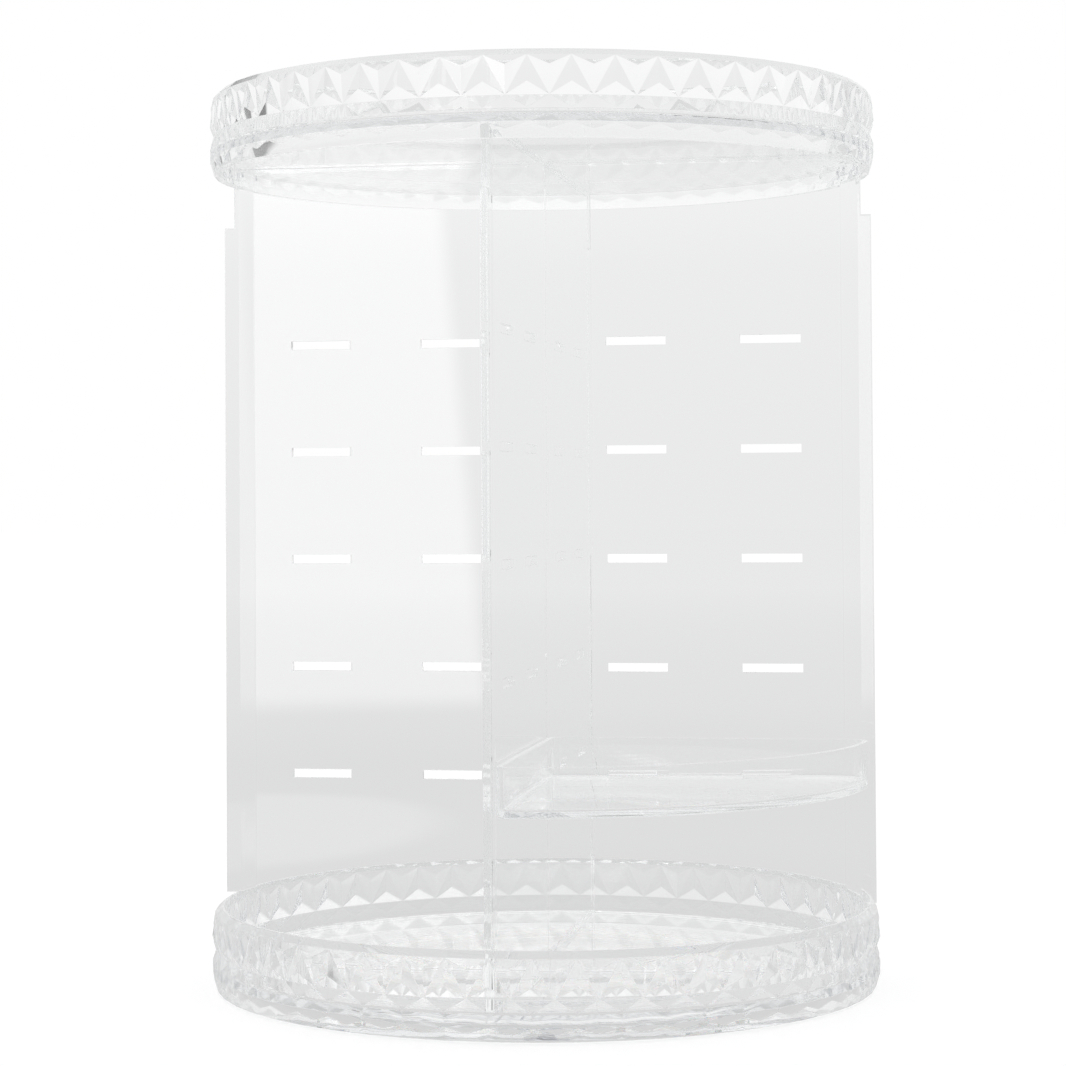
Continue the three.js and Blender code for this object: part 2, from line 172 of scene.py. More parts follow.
# %% [markdown]
# ## Resin, steel and rubber
# The balls and their cage are white bearing resin, slightly waxy. The pivot's washer and screw
# are zinc plated, with a fine brushed grain. The feet are soft rubber that scatters light. A little
# subsurface light gives resin and rubber their depth, where a plain colour would look like paint.

# %% Opaque finishes
bearing_resin, resin_shader = start_finish(
    "white_bearing_resin",
    Base_Color=(0.86, 0.86, 0.84, 1), Subsurface_Weight=0.15, Subsurface_Scale=0.001,
)
add_grain(bearing_resin, resin_shader, scale=900, detail=3, depth=1e-5, low=0.3, high=0.45)

zinc, zinc_shader = start_finish("zinc_plated_steel", Base_Color=(0.72, 0.73, 0.76, 1), Metallic=1.0)
add_grain(zinc, zinc_shader, scale=1800, detail=4, depth=1e-5, low=0.22, high=0.4)

rubber, rubber_shader = start_finish(
    "soft_clear_rubber",
    Base_Color=(0.78, 0.79, 0.8, 1), Subsurface_Weight=0.3, Subsurface_Scale=0.002,
)
add_grain(rubber, rubber_shader, scale=1200, detail=4, depth=3e-5, low=0.6, high=0.85)
print("opaque finishes:", bearing_resin.name, zinc.name, rubber.name)

# %% [markdown]
# ## From a list of rings to a closed body
# Most pieces here are a stack of rings with the same number of points, joined ring to ring. A Screw
# modifier could turn a profile too, but the shelf isn't round, and one helper for rings of any
# outline makes the turned pieces, the shelf, the blocks and the feet. A stack is either closed
# with a flat cap at both ends, or joined back to its first ring, as for a body with a hole.


# %% Loft helper
def circle_point(radius, turn, height=0):
    """A point on a circle round the axis, in metres from sizes in millimetres."""
    return Vector((radius * cos(turn), radius * sin(turn), height)) * MM


def ring_points(radius, height, steps):
    return [circle_point(radius, 2 * pi * k / steps, height) for k in range(steps)]


def loft(mesh, rings, closed=False):
    """Adds quads between rings of points. Open stacks get a flat cap at each end."""
    rows = [[mesh.verts.new(point) for point in ring] for ring in rings]
    pairs = list(zip(rows, rows[1:] + rows[:1] if closed else rows[1:]))
    for low, high in pairs:
        count = len(low)
        for k in range(count):
            mesh.faces.new((low[k], low[(k + 1) % count], high[(k + 1) % count], high[k]))
    if not closed:
        mesh.faces.new(list(reversed(rows[0])))
        mesh.faces.new(rows[-1])


def turned_mesh(profile, steps, closed=False):
    """A body turned about the axis from (radius, height) points, in millimetres."""
    mesh = bmesh.new()
    loft(mesh, [ring_points(radius, height, steps) for radius, height in profile], closed)
    return mesh


def box_mesh(low, high):
    """A block from two opposite corners, in millimetres."""
    mesh = bmesh.new()
    corners = [(low[0], low[1]), (high[0], low[1]), (high[0], high[1]), (low[0], high[1])]
    loft(mesh, [[Vector((x, y, z)) * MM for x, y in corners] for z in (low[2], high[2])])
    return mesh


print("loft helpers are ready")

# %% [markdown]
# ## Turning a mesh into a piece of the model
# A finished piece needs an object, a finish in the mesh's material slot, the CAD node that it stands
# for and the body that it rides on. Edges sharper than a set angle stay crisp, and a narrow
# bevel on them gives the thin bright line that real moulded edges show.


# %% Piece helper
def add_piece(name, mesh, finish, node, body, bevel=0.0, bevel_angle=30, smooth_angle=35):
    bmesh.ops.recalc_face_normals(mesh, faces=mesh.faces)
    data = bpy.data.meshes.new(name)
    for face in mesh.faces:
        face.smooth = True
    for edge in mesh.edges:
        if len(edge.link_faces) == 2:
            edge.smooth = edge.calc_face_angle(0) < radians(smooth_angle)
    mesh.to_mesh(data)
    mesh.free()
    piece = link_object(name, data)
    data.materials.append(finish)
    if bevel:
        rounding = piece.modifiers.new("edge_rounding", "BEVEL")
        rounding.width = bevel * MM
        rounding.segments = 2
        rounding.limit_method = "ANGLE"
        rounding.angle_limit = radians(bevel_angle)
        rounding.harden_normals = True
    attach(piece, body)
    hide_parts(node)
    print(name, "faces:", len(data.polygons))


print("piece helper is ready")

# %% [markdown]
# Some pieces are several bodies in one moulding, or have holes. Bodies that only overlap would leave
# walls inside the clear plastic, and each wall would bend the light once more. A Boolean takes
# those walls out. It runs on two work objects, and its result goes back into a plain mesh.


# %% Boolean helper
def work_mesh(mesh, name):
    data = bpy.data.meshes.new(name)
    bmesh.ops.recalc_face_normals(mesh, faces=mesh.faces)
    mesh.to_mesh(data)
    mesh.free()
    return data


def combine(mesh, others, operation):
    """Joins other closed meshes to this one, or cuts them out."""
    base = link_object("work_base", work_mesh(mesh, "work_base"))
    tool = bmesh.new()
    for other in others:
        data = work_mesh(other, "work_part")
        tool.from_mesh(data)
        bpy.data.meshes.remove(data)
    cutter = link_object("work_tool", work_mesh(tool, "work_tool"))
    boolean = base.modifiers.new("combine", "BOOLEAN")
    boolean.operation = operation
    boolean.object = cutter
    boolean.solver = "EXACT"
    boolean.use_self = True
    bpy.context.view_layer.update()
    evaluated = base.evaluated_get(bpy.context.evaluated_depsgraph_get())
    joined = bmesh.new()
    joined.from_mesh(evaluated.to_mesh())
    evaluated.to_mesh_clear()
    for made in (base, cutter):
        data = made.data
        bpy.data.objects.remove(made)
        bpy.data.meshes.remove(data)
    return joined


print("Boolean helper is ready")

# %% [markdown]
# ## The trays
# Both trays come out of the same mould shape. The rim's outside repeats 52 cells of diamonds. They
# could be cut out of a turned ring with Booleans, but then no corner's place is a number that can be
# read and tuned. So each corner is placed: a cell has them on eight heights between its edge and its
# foot, four on the cell's border and four on its middle, and the faces between them are flat, as
# a mould maker mills them.

# %% Sizes of the trays and corners of a cell
CELLS = 52
BORE_STEPS = 4
TRAY_RADIUS, TRAY_HEIGHT, TRAY_BORE, CUT_DEPTH = 115.2, 27.7, 111.0, 2.3
FLOOR_UNDER, FLOOR_TOP, COVE = 5.3, 7.8, 1.5
FLOOR_RINGS = (100, 60, 20)
RIM_ROWS = {  # height share, depth share, place in the cell
    "brow": (0.925, 0.43, 0),
    "notch": (0.812, 0.17, 0.5),
    "peak": (0.62, 0, 0),
    "pit": (0.475, 0.58, 0.5),
    "chin": (0.33, 0.06, 0),
    "dimple": (0.3, 0.42, 0.5),
    "cheek": (0.165, 0.1, 0),
    "toe": (0.095, 0.4, 0.5),
}
RIM_EDGE, RIM_FOOT = 112.0, 113.6
FACETS = [  # corners of one cell, with > for the next cell's
    ("edge", "brow", ">brow", ">edge"),
    ("brow", "notch", ">brow"),
    ("brow", "pit", "notch"),
    (">brow", "notch", "pit"),
    ("brow", "peak", "pit"),
    (">brow", "pit", ">peak"),
    ("pit", ">pit", ">peak"),
    ("pit", ">chin", ">pit"),
    ("pit", "chin", "dimple"),
    ("pit", "dimple", ">chin"),
    ("chin", "cheek", "dimple"),
    (">chin", "dimple", ">cheek"),
    ("dimple", "cheek", "toe"),
    ("dimple", "toe", ">cheek"),
    ("cheek", "foot", "toe"),
    (">cheek", "toe", ">foot"),
    ("toe", "foot", ">foot"),
]
print("diamonds per rim:", CELLS, "cells of", len(FACETS), "facets")

# %% [markdown]
# One function builds a whole tray. The bore inside the cut rim is smooth and round, so it gets four
# times as many steps as there are cells. A rounded corner leads from it to the floor. The underside
# follows a profile of its own, because the two trays differ there.


# %% Tray helper
def cove_steps(radius, steps):
    """How far a rounded inner corner goes inwards and upwards, from its wall to its floor."""
    angles = [pi / 2 * k / steps for k in range(steps + 1)]
    return [(radius * (1 - cos(angle)), radius * (1 - sin(angle))) for angle in angles]


def tray_mesh(base_height, under_profile):
    """One tray: the cut rim outside, then smooth rings down the bore, over the floor and under it."""
    mesh = bmesh.new()

    def corner(cell, share, radius, height):
        turn = 2 * pi * (cell + share) / CELLS
        return mesh.verts.new(circle_point(radius, turn, base_height + height))

    cells = []
    for cell in range(CELLS):
        corners = {
            row: corner(cell, place, TRAY_RADIUS - depth * CUT_DEPTH, height * TRAY_HEIGHT)
            for row, (height, depth, place) in RIM_ROWS.items()
        }
        corners["edge"] = corner(cell, 0, RIM_EDGE, TRAY_HEIGHT)
        corners["foot"] = corner(cell, 0, RIM_FOOT, 0)
        cells.append(corners)
    for cell, corners in enumerate(cells):
        ahead = cells[(cell + 1) % CELLS]
        for facet in FACETS:
            mesh.faces.new(
                [ahead[name[1:]] if name[0] == ">" else corners[name] for name in facet]
            )

    steps = CELLS * BORE_STEPS
    inside = [
        (TRAY_BORE, TRAY_HEIGHT),
        *[(TRAY_BORE - inwards, FLOOR_TOP + up) for inwards, up in cove_steps(COVE, steps=6)],
        *[(radius, FLOOR_TOP) for radius in FLOOR_RINGS],
    ]
    under = [(TRAY_BORE, 0), (TRAY_BORE, FLOOR_UNDER), *under_profile]
    first_rows = []
    for profile in (inside, under):
        rows = [
            [mesh.verts.new(point) for point in ring_points(radius, base_height + height, steps)]
            for radius, height in profile
        ]
        for low, high in zip(rows, rows[1:]):
            for k in range(steps):
                mesh.faces.new((low[k], high[k], high[(k + 1) % steps], low[(k + 1) % steps]))
        mesh.faces.new(rows[-1])
        first_rows.append(rows[0])
    for cell, corners in enumerate(cells):
        ahead = cells[(cell + 1) % CELLS]
        for row, name in zip(first_rows, ("edge", "foot")):
            arc = [row[(cell * BORE_STEPS + k) % steps] for k in range(BORE_STEPS + 1)]
            mesh.faces.new([corners[name], ahead[name]] + list(reversed(arc)))
    return mesh


print("tray helper is ready")

# %% [markdown]
# Ribs on the floor hold the panels upright, in pairs along each half of each panel. The lower tray
# has them on top of its floor, the upper tray underneath. They are plain blocks that sink a little
# into the floor, and the Boolean joins them on.

# %% Channel ribs
PANEL_SHEET, SLIDE_GAP = 2.2, 0.3
CHANNEL_START, CHANNEL_END, CHANNEL_WALL, CHANNEL_DEPTH = 7.0, 103.0, 1.2, 1.2
SUNK = 0.6  # how far a block reaches into the floor that it stands on


def channel_ribs(low, high):
    inside = PANEL_SHEET / 2 + SLIDE_GAP
    outside = inside + CHANNEL_WALL
    ribs = []
    for end in (-1, 1):
        for side in (-1, 1):
            along = sorted((end * CHANNEL_START, end * CHANNEL_END))
            across = sorted((side * inside, side * outside))
            ribs.append(box_mesh((along[0], across[0], low), (along[1], across[1], high)))
            ribs.append(box_mesh((across[0], along[0], low), (across[1], along[1], high)))
    return ribs


print("channels are", round(PANEL_SHEET + 2 * SLIDE_GAP, 1), "mm wide and", CHANNEL_DEPTH, "mm deep")

# %% [markdown]
# The lower tray carries the upper half of the ball race under its floor, a groove that is part of a
# circle, and a short pin in the middle with a pilot hole for the pivot screw. All three are round, so
# they are part of the profile that is turned, and need no Boolean.

# %% Lower tray
BALL_CIRCLE, RACE_RADIUS, RACE_DEPTH = 66.0, 2.35, 0.6
PIN_RADIUS, PIN_FOOT, PILOT_RADIUS, PILOT_TOP = 4.5, 2.2, 1.7, 6.6


def race_profile(height, direction, steps=8):
    half = sqrt(RACE_RADIUS**2 - (RACE_RADIUS - RACE_DEPTH) ** 2)
    spread = asin(half / RACE_RADIUS)
    points = []
    for k in range(steps + 1):
        angle = -spread + 2 * spread * k / steps
        rise = RACE_RADIUS * cos(angle) - RACE_RADIUS + RACE_DEPTH
        points.append((BALL_CIRCLE + RACE_RADIUS * sin(angle), height + direction * rise))
    return points


tray_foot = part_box("base_tray")[0].z / MM
race = list(reversed(race_profile(FLOOR_UNDER, 1)))
pin = [
    (PIN_RADIUS, FLOOR_UNDER),
    (PIN_RADIUS, PIN_FOOT),
    (PILOT_RADIUS, PIN_FOOT),
    (PILOT_RADIUS, PILOT_TOP),
]
lower_tray = combine(
    tray_mesh(tray_foot, race + pin),
    channel_ribs(tray_foot + FLOOR_TOP - SUNK, tray_foot + FLOOR_TOP + CHANNEL_DEPTH),
    "UNION",
)
add_piece(
    "lower_tray_moulding", lower_tray, clear_tray, "base_tray", "carousel",
    bevel=0.12, bevel_angle=16, smooth_angle=12,
)

# %% [markdown]
# The upper tray is the same moulding with a plain underside, so the same function makes it. It lifts
# off, and rides on a body of its own.

# %% Upper tray
head_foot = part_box("top_tray")[0].z / MM
upper_tray = combine(
    tray_mesh(head_foot, [(radius, FLOOR_UNDER) for radius in FLOOR_RINGS]),
    channel_ribs(head_foot + FLOOR_UNDER - CHANNEL_DEPTH, head_foot + FLOOR_UNDER + SUNK),
    "UNION",
)
add_piece(
    "upper_tray_moulding", upper_tray, clear_tray, "top_tray", "upper_tray",
    bevel=0.12, bevel_angle=16, smooth_angle=12,
)

# %% [markdown]
# ## The wall panels
# A panel is a thin sheet with a thicker rail down each end, narrow necks that stand inside the
# trays, twenty slots and a half-lap in the middle. All its edges are straight, so it is built as
# a grid of cells in three layers: each cell is plastic or air, and only the faces between the two
# are kept. Holes and steps then need no Boolean, and every edge is clean enough to round.


# %% Cell grid helper
def cells_mesh(xs, ys, zs, filled):
    """The skin of all filled cells of a grid whose lines are given in millimetres."""
    mesh = bmesh.new()
    points = {}

    def vert(i, j, k):
        if (i, j, k) not in points:
            points[i, j, k] = mesh.verts.new(Vector((xs[i], ys[j], zs[k])) * MM)
        return points[i, j, k]

    counts = (len(xs) - 1, len(ys) - 1, len(zs) - 1)

    def solid(cell):
        return all(0 <= cell[axis] < counts[axis] for axis in range(3)) and filled(*(
            (lines[index] + lines[index + 1]) / 2 for lines, index in zip((xs, ys, zs), cell)
        ))

    for cell in product(*(range(count) for count in counts)):
        if not solid(cell):
            continue
        for axis, side in product(range(3), (0, 1)):
            beside = list(cell)
            beside[axis] += 1 if side else -1
            if solid(beside):
                continue
            across, along = (other for other in range(3) if other != axis)
            loop = []
            for step_across, step_along in ((0, 0), (1, 0), (1, 1), (0, 1)):
                corner = list(cell)
                corner[axis] += side
                corner[across] += step_across
                corner[along] += step_along
                loop.append(vert(*corner))
            mesh.faces.new(loop)
    return mesh


print("cell grid helper is ready")

# %% Sizes of the wall panels
PANEL_RADIUS, NECK_RADIUS, NECK_LENGTH = 114.0, 110.5, 20.3
RAIL_WIDTH, RAIL_THICKNESS, RAIL_INSET, RIDGE_FALL = 10.4, 3.0, 0.3, 0.36
LAP_GAP = 0.1  # from the panel's middle height to the end of its half-lap
SLOT_LENGTH, SLOT_HEIGHT, SLOT_PITCH, SLOT_ROWS = 21.0, 3.0, 37.7, 5
SLOT_STARTS = (22.2, 68.8)

panel_low, panel_high = (corner.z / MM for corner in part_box("divider_panel_wide"))
panel_middle = (panel_low + panel_high) / 2
slot_heights = [panel_middle + (row - (SLOT_ROWS - 1) / 2) * SLOT_PITCH for row in range(SLOT_ROWS)]
print("slot rows at", [round(height, 1) for height in slot_heights])

# %% [markdown]
# The grid's lines are all the places where the panel changes, and one function says whether a cell is
# plastic. The rails' faces then get a low ridge. A flat rail would mirror the softbox as the sheet
# does, but in the photo the rails stay grey beside it.

# %% Panel helpers
SAME_PLACE = 0.01  # millimetres; a point this near to a plane lies in it


def crown_rails(mesh):
    """Lowers the rails' faces towards both borders, so that they stand up in a low ridge."""
    middle, reach = PANEL_RADIUS - RAIL_WIDTH / 2, RAIL_WIDTH / 2
    for vert in mesh.verts:
        x, y = vert.co.x / MM, vert.co.y / MM
        if abs(abs(y) - RAIL_THICKNESS / 2) < SAME_PLACE:
            fall = RIDGE_FALL * abs(abs(x) - middle) / reach
            vert.co.y = (abs(y) - fall) * MM * (1 if y > 0 else -1)


def panel_mesh(lap_from_foot):
    lap_half = PANEL_SHEET / 2 + SLIDE_GAP
    rail_start = PANEL_RADIUS - RAIL_WIDTH
    half = sorted([
        lap_half,
        *[edge for start in SLOT_STARTS for edge in (start, start + SLOT_LENGTH)],
        rail_start, rail_start + RAIL_WIDTH / 2,
        NECK_RADIUS - RAIL_INSET, NECK_RADIUS,
        PANEL_RADIUS - RAIL_INSET, PANEL_RADIUS,
    ])
    xs = [-x for x in reversed(half)] + half
    ys = [-RAIL_THICKNESS / 2, -PANEL_SHEET / 2, PANEL_SHEET / 2, RAIL_THICKNESS / 2]
    shoulders = (panel_low + NECK_LENGTH, panel_high - NECK_LENGTH)
    zs = sorted({
        panel_low, panel_low + RAIL_INSET,
        shoulders[0], shoulders[0] + RAIL_INSET,
        panel_middle - LAP_GAP, panel_middle + LAP_GAP,
        shoulders[1] - RAIL_INSET, shoulders[1],
        panel_high - RAIL_INSET, panel_high,
        *[height + side * SLOT_HEIGHT / 2 for height in slot_heights for side in (-1, 1)],
    })
    lap_edge = panel_middle + (LAP_GAP if lap_from_foot else -LAP_GAP)

    def filled(x, y, z):
        away = abs(x)
        inset = RAIL_INSET if abs(y) > PANEL_SHEET / 2 else 0
        in_neck = not shoulders[0] + inset < z < shoulders[1] - inset
        if away > (NECK_RADIUS if in_neck else PANEL_RADIUS) - inset:
            return False
        if inset:
            return away > rail_start and panel_low + inset < z < panel_high - inset
        if away < lap_half and (z < lap_edge if lap_from_foot else z > lap_edge):
            return False
        for height in slot_heights:
            if abs(z - height) < SLOT_HEIGHT / 2:
                return not any(start < away < start + SLOT_LENGTH for start in SLOT_STARTS)
        return True

    mesh = cells_mesh(xs, ys, zs, filled)
    crown_rails(mesh)
    return mesh


print("panel helpers are ready")

# %% Both wall panels
for name, node, lap_from_foot, turn in (
    ("wall_panel_wide", "divider_panel_wide", True, 0),
    ("wall_panel_cross", "divider_panel_cross", False, pi / 2),
):
    mesh = panel_mesh(lap_from_foot)
    mesh.transform(Matrix.Rotation(turn, 4, "Z"))
    add_piece(
        name, mesh, clear_panel, node, "carousel", bevel=0.25, smooth_angle=6
    )

# %% [markdown]
# ## The quarter shelf
# The shelf is a small tray that fills one quarter. Its outline has two straight sides, the big curve
# of the tray and three round corners. A solidified and bevelled sheet could make it, but a loft of
# that one outline, drawn in step by step from the outer wall to the floor, keeps wall, rounded
# corner and floor at their own sizes.

# %% Outline of the shelf
SHELF_SIDE, SHELF_RADIUS, SHELF_CORNER = 1.8, 112.0, 5.0
SHELF_HEIGHT, SHELF_WALL, SHELF_FLOOR, SHELF_COVE, SHELF_CHAMFER = 16.0, 1.8, 2.0, 1.2, 0.5


def arc_points(centre, radius, start, end, steps):
    angles = [start + (end - start) * k / steps for k in range(steps + 1)]
    return [(centre[0] + radius * cos(angle), centre[1] + radius * sin(angle)) for angle in angles]


def quarter_outline(side, radius, rounding, corner_steps=6, sweep_steps=56):
    """Two straight sides and a big curve, with the three corners between them rounded."""
    middle = side + rounding
    reach = sqrt((radius - rounding) ** 2 - middle**2)
    tilt = atan2(middle, reach)
    return (
        arc_points((middle, middle), rounding, pi, 1.5 * pi, corner_steps)
        + arc_points((reach, middle), rounding, -pi / 2, tilt, corner_steps)
        + arc_points((0, 0), radius, tilt, pi / 2 - tilt, sweep_steps)[1:-1]
        + arc_points((middle, reach), rounding, pi / 2 - tilt, pi, corner_steps)
    )


def shelf_ring(inset, height):
    outline = quarter_outline(SHELF_SIDE + inset, SHELF_RADIUS - inset, SHELF_CORNER - inset)
    return [Vector((x, y, height)) * MM for x, y in outline]


print("outline of", len(shelf_ring(0.0, 0.0)), "points")

# %% [markdown]
# Four tabs reach through the lowest slots of the panels and carry the shelf. They are a little shorter
# than the slots, so that it can be pulled out diagonally. The Boolean joins them to the wall.

# %% Quarter shelf
TAB_TIP, TAB_LENGTH, TAB_LOW, TAB_HIGH = -2.1, 16.4, 1.2, 3.4

shelf_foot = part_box("quarter_shelf")[0].z / MM
shelf_floor, shelf_head = shelf_foot + SHELF_FLOOR, shelf_foot + SHELF_HEIGHT
shelf_body = bmesh.new()
loft(shelf_body, [
    shelf_ring(SHELF_CHAMFER, shelf_foot),
    shelf_ring(0.0, shelf_foot + SHELF_CHAMFER),
    shelf_ring(0.0, shelf_head),
    shelf_ring(SHELF_WALL, shelf_head),
    *[
        shelf_ring(SHELF_WALL + inwards, shelf_floor + up)
        for inwards, up in cove_steps(SHELF_COVE, steps=4)
    ],
])
tabs = []
tab_root = SHELF_SIDE + SHELF_WALL / 2
tab_low, tab_high = shelf_foot + TAB_LOW, shelf_foot + TAB_HIGH
for slot_start in SLOT_STARTS:
    start = slot_start + SLIDE_GAP
    end = start + TAB_LENGTH
    tabs.append(box_mesh((start, TAB_TIP, tab_low), (end, tab_root, tab_high)))
    tabs.append(box_mesh((TAB_TIP, start, tab_low), (tab_root, end, tab_high)))
shelf_body = combine(shelf_body, tabs, "UNION")
shelf_body.transform(Matrix.Rotation(-pi / 2, 4, "Z"))
add_piece(
    "shelf_moulding", shelf_body, clear_tray, "quarter_shelf", "shelf", bevel=0.2
)

# %% [markdown]
# ## The turntable
# Under the lower tray lies a clear disc with the lower half of the ball race, a hub, eight ribs and a
# lip. It stands on four rubber feet that sit in pockets. Race, hub and lip go round the axis, so
# a turned body gives them. Ribs and pockets don't, so Booleans add the ribs and cut the pockets.

# %% Turntable disc
DISC_RADIUS, DISC_RAISE, DISC_TOP, LIP_WIDTH, LIP_HEIGHT = 92.0, 1.0, 3.2, 2.0, 1.8
HUB_RADIUS, HUB_TOP, HUB_BORE, RECESS_RADIUS, RECESS_TOP = 15.0, 5.5, 4.8, 8.3, 3.4
RIB_WIDTH, RIB_HEIGHT, RIB_SPANS, RIB_COUNT = 1.2, 1.5, ((14.4, 58.0), (74.0, 90.6)), 8
FOOT_RADIUS, FOOT_CIRCLE, FOOT_TOP, FOOT_COUNT = 6.5, 80.0, 1.6, 4
POCKET_TOP, POCKET_GAP = 1.8, 0.2
CUT_FROM = -1  # a cutter starts this far below the piece
SMOOTH_STEPS = 192

disc = turned_mesh([
    (HUB_BORE, RECESS_TOP), (HUB_BORE, HUB_TOP), (HUB_RADIUS, HUB_TOP), (HUB_RADIUS, DISC_TOP),
    *race_profile(DISC_TOP, -1),
    (DISC_RADIUS - LIP_WIDTH, DISC_TOP), (DISC_RADIUS - LIP_WIDTH, DISC_TOP + LIP_HEIGHT),
    (DISC_RADIUS, DISC_TOP + LIP_HEIGHT), (DISC_RADIUS, DISC_RAISE),
    (RECESS_RADIUS, DISC_RAISE), (RECESS_RADIUS, RECESS_TOP),
], SMOOTH_STEPS, closed=True)
ribs = []
for rib in range(RIB_COUNT):
    for start, end in RIB_SPANS:
        blade = box_mesh(
            (start, -RIB_WIDTH / 2, DISC_TOP - SUNK), (end, RIB_WIDTH / 2, DISC_TOP + RIB_HEIGHT)
        )
        blade.transform(Matrix.Rotation(2 * pi * rib / RIB_COUNT, 4, "Z"))
        ribs.append(blade)
foot_places = [
    circle_point(FOOT_CIRCLE, 2 * pi * (foot + 0.5) / FOOT_COUNT) for foot in range(FOOT_COUNT)
]
pocket_radius = FOOT_RADIUS + POCKET_GAP
pockets = []
for place in foot_places:
    pocket = turned_mesh([(pocket_radius, CUT_FROM), (pocket_radius, POCKET_TOP)], steps=48)
    pocket.transform(Matrix.Translation(place))
    pockets.append(pocket)
disc = combine(combine(disc, ribs, "UNION"), pockets, "DIFFERENCE")
add_piece(
    "turntable_moulding", disc, clear_tray, "turntable_disc", "turntable",
    bevel=0.15,
)

# %% [markdown]
# A rubber foot is a thin pad with a soft lower edge. Rounding it with a bevel would round it evenly,
# but a moulded pad is rounder below than at its side, so the edge is four points of the profile.

# %% Rubber feet
PAD_EDGE = ((0.9, 0), (0.35, 0.12), (0.1, 0.4), (0.0, 0.8))  # inwards from the side, upwards
PAD_CHAMFER = 0.2
pad_profile = [
    *[(FOOT_RADIUS - inwards, up) for inwards, up in PAD_EDGE],
    (FOOT_RADIUS, FOOT_TOP - PAD_CHAMFER), (FOOT_RADIUS - PAD_CHAMFER, FOOT_TOP),
]
for foot, place in enumerate(foot_places, 1):
    pad = turned_mesh(pad_profile, steps=64)
    pad.transform(Matrix.Translation(place))
    add_piece(f"foot_pad_{foot}", pad, rubber, f"rubber_foot_{foot}", "turntable")

# %% [markdown]
# ## The ball ring
# Twelve resin balls sit in a thin ring-shaped cage. The cage's pockets are cut with a Boolean and
# its edges rounded. A ball is an icosphere split finely enough to look perfectly round. Unlike a
# sphere of rings and segments it has no poles, where the faces would crowd together.

# %% Ball ring
BALLS, BALL_RADIUS = 12, 2.0
CAGE_HALF_WIDTH, CAGE_THICKNESS, HOLE_REACH = 5.0, 1.4, 3
ring_height = sum(corner.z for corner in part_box("ball_cage")) / 2 / MM
cage_inner, cage_outer = BALL_CIRCLE - CAGE_HALF_WIDTH, BALL_CIRCLE + CAGE_HALF_WIDTH
cage_low, cage_high = ring_height - CAGE_THICKNESS / 2, ring_height + CAGE_THICKNESS / 2
cage = turned_mesh([
    (cage_inner, cage_low), (cage_outer, cage_low), (cage_outer, cage_high), (cage_inner, cage_high),
], SMOOTH_STEPS, closed=True)
ball_places = [circle_point(BALL_CIRCLE, 2 * pi * k / BALLS, ring_height) for k in range(BALLS)]
hole_radius = BALL_RADIUS + POCKET_GAP
holes = []
for place in ball_places:
    hole = turned_mesh([(hole_radius, -HOLE_REACH), (hole_radius, HOLE_REACH)], steps=32)
    hole.transform(Matrix.Translation(place))
    holes.append(hole)
cage = combine(cage, holes, "DIFFERENCE")
add_piece("ball_ring_cage", cage, bearing_resin, "ball_cage", "ball_ring", bevel=0.15)
for ball, place in enumerate(ball_places, 1):
    sphere = bmesh.new()
    bmesh.ops.create_icosphere(sphere, subdivisions=3, radius=BALL_RADIUS * MM)
    sphere.transform(Matrix.Translation(place))
    add_piece(
        f"bearing_ball_{ball}", sphere, bearing_resin, f"ball_{ball}", "ball_ring"
    )

# %% [markdown]
# ## The pivot
# A screw from below, over a washer, keeps the tray on its disc and lets it turn. The washer is
# a turned ring. The screw is turned too, with a sloped edge to its head, and the Boolean cuts the
# cross recess out of it.

# %% Washer and screw
SCREW_SHANK, SCREW_POINT, WASHER_RADIUS, WASHER_GAP = 1.5, 0.1, 8.0, 0.2
HEAD_RADIUS, HEAD_HEIGHT, HEAD_FLAT, CROSS_WIDTH = 3.4, 1.0, 2.4, 0.9
washer_low, washer_high = (corner.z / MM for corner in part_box("pivot_washer"))
washer_bore = SCREW_SHANK + WASHER_GAP
washer = turned_mesh([
    (washer_bore, washer_low), (WASHER_RADIUS, washer_low),
    (WASHER_RADIUS, washer_high), (washer_bore, washer_high),
], steps=96, closed=True)
add_piece("pivot_washer_plate", washer, zinc, "pivot_washer", "carousel", bevel=0.12)

screw_low, screw_high = (corner.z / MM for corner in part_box("pivot_screw"))
head_half, head_top = screw_low + HEAD_HEIGHT / 2, screw_low + HEAD_HEIGHT
screw = turned_mesh([
    (HEAD_FLAT, screw_low), (HEAD_RADIUS, head_half), (HEAD_RADIUS, head_top),
    (SCREW_SHANK, head_top), (SCREW_SHANK, screw_high - SCREW_SHANK), (SCREW_POINT, screw_high),
], steps=64)
arm, groove = HEAD_RADIUS / 2, CROSS_WIDTH / 2
cross = [
    box_mesh((-across, -along, screw_low + CUT_FROM), (across, along, head_half))
    for across, along in ((arm, groove), (groove, arm))
]
add_piece(
    "pivot_screw_steel", combine(screw, cross, "DIFFERENCE"), zinc,
    "pivot_screw", "carousel", bevel=0.08,
)

# %% [markdown]
# ## Studio light
# Clear plastic shows only what it bends and mirrors, so the studio matters more than the lamps. The
# photograph's backdrop is pure white to the camera, yet all the plastic reads as one pale grey, lighter
# at the top: it shows the studio itself. So the world and the floor are white where the camera
# sees them, a pale grey with a gentle fade where plastic and steel show them, and give matt
# surfaces a plain white light. A switch by the kind of ray does that.

# %% Ray switch
# A Mix node has sockets for numbers, vectors and colours. These are the places of the colours.
MIX_FIRST_COLOUR, MIX_SECOND_COLOUR, MIX_COLOUR_OUT = 6, 7, 2


